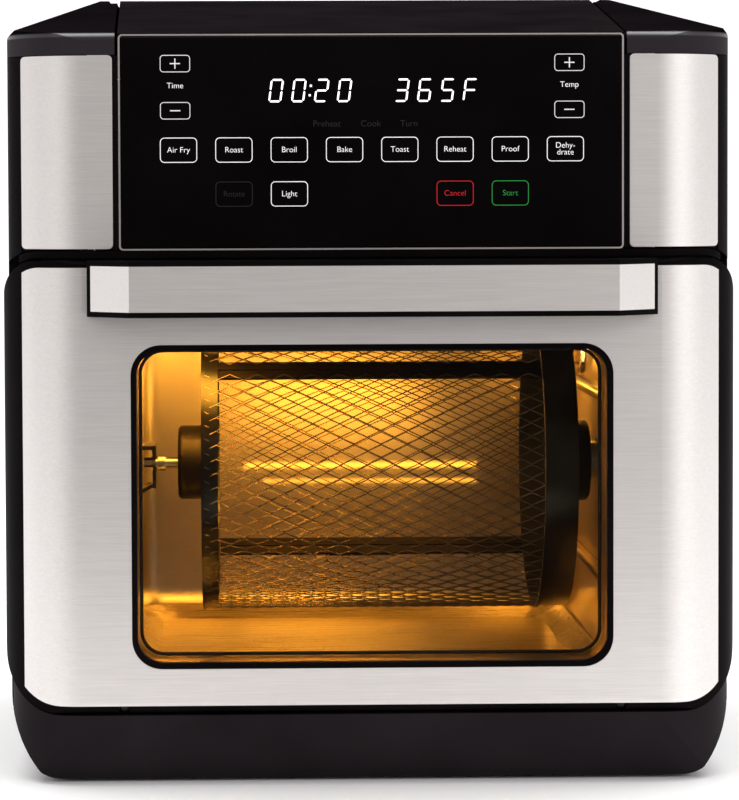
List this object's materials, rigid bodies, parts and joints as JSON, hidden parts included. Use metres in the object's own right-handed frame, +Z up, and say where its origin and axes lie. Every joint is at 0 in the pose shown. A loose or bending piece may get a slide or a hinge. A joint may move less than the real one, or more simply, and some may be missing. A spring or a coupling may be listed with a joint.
{
  "type": "rotisserie oven",
  "caption": "Upright countertop rotisserie oven with a drop-down windowed door, bar handle, touch panel head and a mesh drum that turns on a horizontal axis over a drip tray.",
  "frame": {"origin": "on the table under the middle of the object's box", "axes": "+Z up, the door and handle face -Y, +X to the right of someone facing the door"},
  "size_m": [0.3336, 0.336, 0.364],
  "materials": {
    "black_plastic": "moulded black plastic with a fine satin grain",
    "stainless": "stainless steel brushed along X",
    "bright_trim": "thin polished edge",
    "panel_glass": "black back-painted glass, polished",
    "window_glass": "clear tempered glass",
    "lamp_glass": "clear heat-resistant glass",
    "liner_steel": "bare bright sheet, lightly grained",
    "tray_steel": "bare sheet, brushed",
    "painted_steel": "black powder coat",
    "basket_steel": "dark heat-tinted steel",
    "shaft_steel": "plain zinc-plated steel",
    "element_sheath": "oxidised heater sheath",
    "rubber": "soft black silicone",
    "fan_aluminium": "stamped sheet",
    "motor_steel": "plated laminations",
    "board": "circuit board with moulded parts",
    "switch_plastic": "plain moulded plastic"
  },
  "bodies": {
    "casing": {"base_shell": "black_plastic", "basket_support": "liner_steel", "cavity_front_frame": "painted_steel", "cavity_liner": "liner_steel", "control_board": "board", "control_panel_glass": "panel_glass", "cord_inlet": "black_plastic", "display_module": "board", "door_seal": "rubber", "drip_tray": "tray_steel", "element_clips": "shaft_steel", "fan_guard": "liner_steel", "fan_housing": "liner_steel", "fan_motor": "motor_steel", "heating_element": "element_sheath", "hinge_brackets": "shaft_steel", "housing_screws": "shaft_steel", "interlock_switch": "switch_plastic", "lamp_bulb": "lamp_glass", "lamp_cover": "lamp_glass", "lamp_socket": "switch_plastic", "panel_trim": "bright_trim", "power_board": "board", "rear_cover": "painted_steel", "rear_spacers": "black_plastic", "rotisserie_motor": "motor_steel", "rubber_feet": "rubber", "shelf_rails": "liner_steel", "side_housing_left": "black_plastic", "side_housing_right": "black_plastic", "temperature_probe": "shaft_steel", "top_cap_left": "black_plastic", "top_cap_right": "black_plastic", "top_cover": "black_plastic", "upper_front_frame": "black_plastic", "upper_trim_left": "stainless", "upper_trim_right": "stainless", "waist_trim": "black_plastic"},
    "door": {"door_outer_skin": "stainless", "door_frame": "black_plastic", "door_inner_panel": "liner_steel", "outer_glass": "window_glass", "inner_glass": "window_glass", "window_gasket": "rubber", "handle_core": "black_plastic", "handle_skin": "stainless", "hinge_pins": "shaft_steel"},
    "fan_rotor": {"convection_fan": "fan_aluminium", "fan_shaft": "shaft_steel", "cooling_fan": "fan_aluminium"},
    "drive": {"drive_socket": "shaft_steel"},
    "basket": {"basket_end_left": "basket_steel", "basket_end_right": "basket_steel", "basket_mesh_fixed": "basket_steel", "basket_mesh_hatch": "basket_steel", "basket_rims": "basket_steel", "basket_hubs": "basket_steel", "basket_spindles": "basket_steel"},
    "latch": {"basket_latch": "basket_steel"},
    "plunger": {"switch_plunger": "switch_plastic"}
  },
  "joints": [
    {"name": "door_hinge", "type": "hinge", "parent": "casing", "child": "door", "pos_m": [0, -0.137, 0.0375], "axis": [1, 0, 0], "range_deg": [0, 90]},
    {"name": "basket_spin", "type": "hinge", "parent": "casing", "child": "basket", "pos_m": [0, 0.008, 0.1333], "axis": [1, 0, 0], "continuous": true},
    {"name": "drive_spin", "type": "hinge", "parent": "casing", "child": "drive", "pos_m": [0.12, 0.008, 0.1333], "axis": [1, 0, 0], "continuous": true},
    {"name": "latch_slide", "type": "slide", "parent": "basket", "child": "latch", "axis": [1, 0, 0], "range_m": [0, 0.004]},
    {"name": "fan_spin", "type": "hinge", "parent": "casing", "child": "fan_rotor", "pos_m": [0, 0.008, 0.27], "axis": [0, 0, 1], "continuous": true},
    {"name": "plunger_slide", "type": "slide", "parent": "casing", "child": "plunger", "axis": [0, 1, 0], "range_m": [0, 0.0022], "stiffness_N_per_m": 300}
  ],
  "couplings": [
    {"joint": "drive_spin", "follows": "basket_spin", "ratio": 1}
  ]
}
